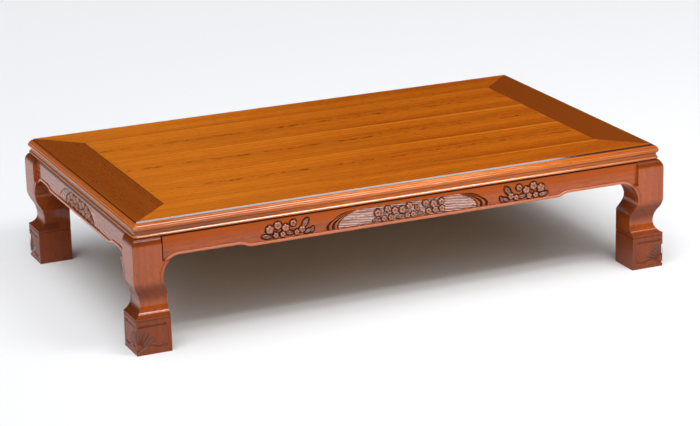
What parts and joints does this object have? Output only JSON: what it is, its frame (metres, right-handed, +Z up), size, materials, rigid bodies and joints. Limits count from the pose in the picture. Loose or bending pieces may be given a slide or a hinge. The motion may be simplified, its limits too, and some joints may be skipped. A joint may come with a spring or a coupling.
{
  "type": "low table",
  "caption": "Low rectangular floor table with a mitred board top, moulded edge, carved stepped aprons and bowed legs on square carved feet.",
  "frame": {"origin": "on the floor, at the middle of the table", "axes": "+X along the table, +Y across it to the back, +Z up"},
  "size_m": [1.5, 0.9, 0.34],
  "materials": {
    "top_board_wood": "gloss lacquer over long grain",
    "end_board_wood": "gloss lacquer over cross grain",
    "moulding_wood": "gloss lacquer",
    "base_wood": "gloss lacquer, darker in the carving",
    "core_wood": "plain board, sealed",
    "inner_wood": "planed, thin seal coat",
    "steel": "zinc plated"
  },
  "bodies": {
    "root": {"apron_back": "base_wood", "apron_front": "base_wood", "apron_left": "base_wood", "apron_right": "base_wood", "batten_left": "inner_wood", "batten_middle": "inner_wood", "batten_right": "inner_wood", "batten_screws": "steel", "border_board_back": "top_board_wood", "border_board_front": "top_board_wood", "border_board_left": "end_board_wood", "border_board_right": "end_board_wood", "button_screws": "steel", "corner_block_back_left": "inner_wood", "corner_block_back_right": "inner_wood", "corner_block_front_left": "inner_wood", "corner_block_front_right": "inner_wood", "corner_block_screws": "steel", "edge_moulding_back": "moulding_wood", "edge_moulding_front": "moulding_wood", "edge_moulding_left": "moulding_wood", "edge_moulding_right": "moulding_wood", "field_board_1": "top_board_wood", "field_board_2": "top_board_wood", "field_board_3": "top_board_wood", "leg_back_left": "base_wood", "leg_back_right": "base_wood", "leg_bolt_nuts": "steel", "leg_bolt_washers": "steel", "leg_front_left": "base_wood", "leg_front_right": "base_wood", "leg_hanger_bolts": "steel", "rim_rail_back": "inner_wood", "rim_rail_front": "inner_wood", "rim_rail_left": "inner_wood", "rim_rail_right": "inner_wood", "top_buttons": "inner_wood", "top_core": "core_wood"}
  },
  "joints": []
}
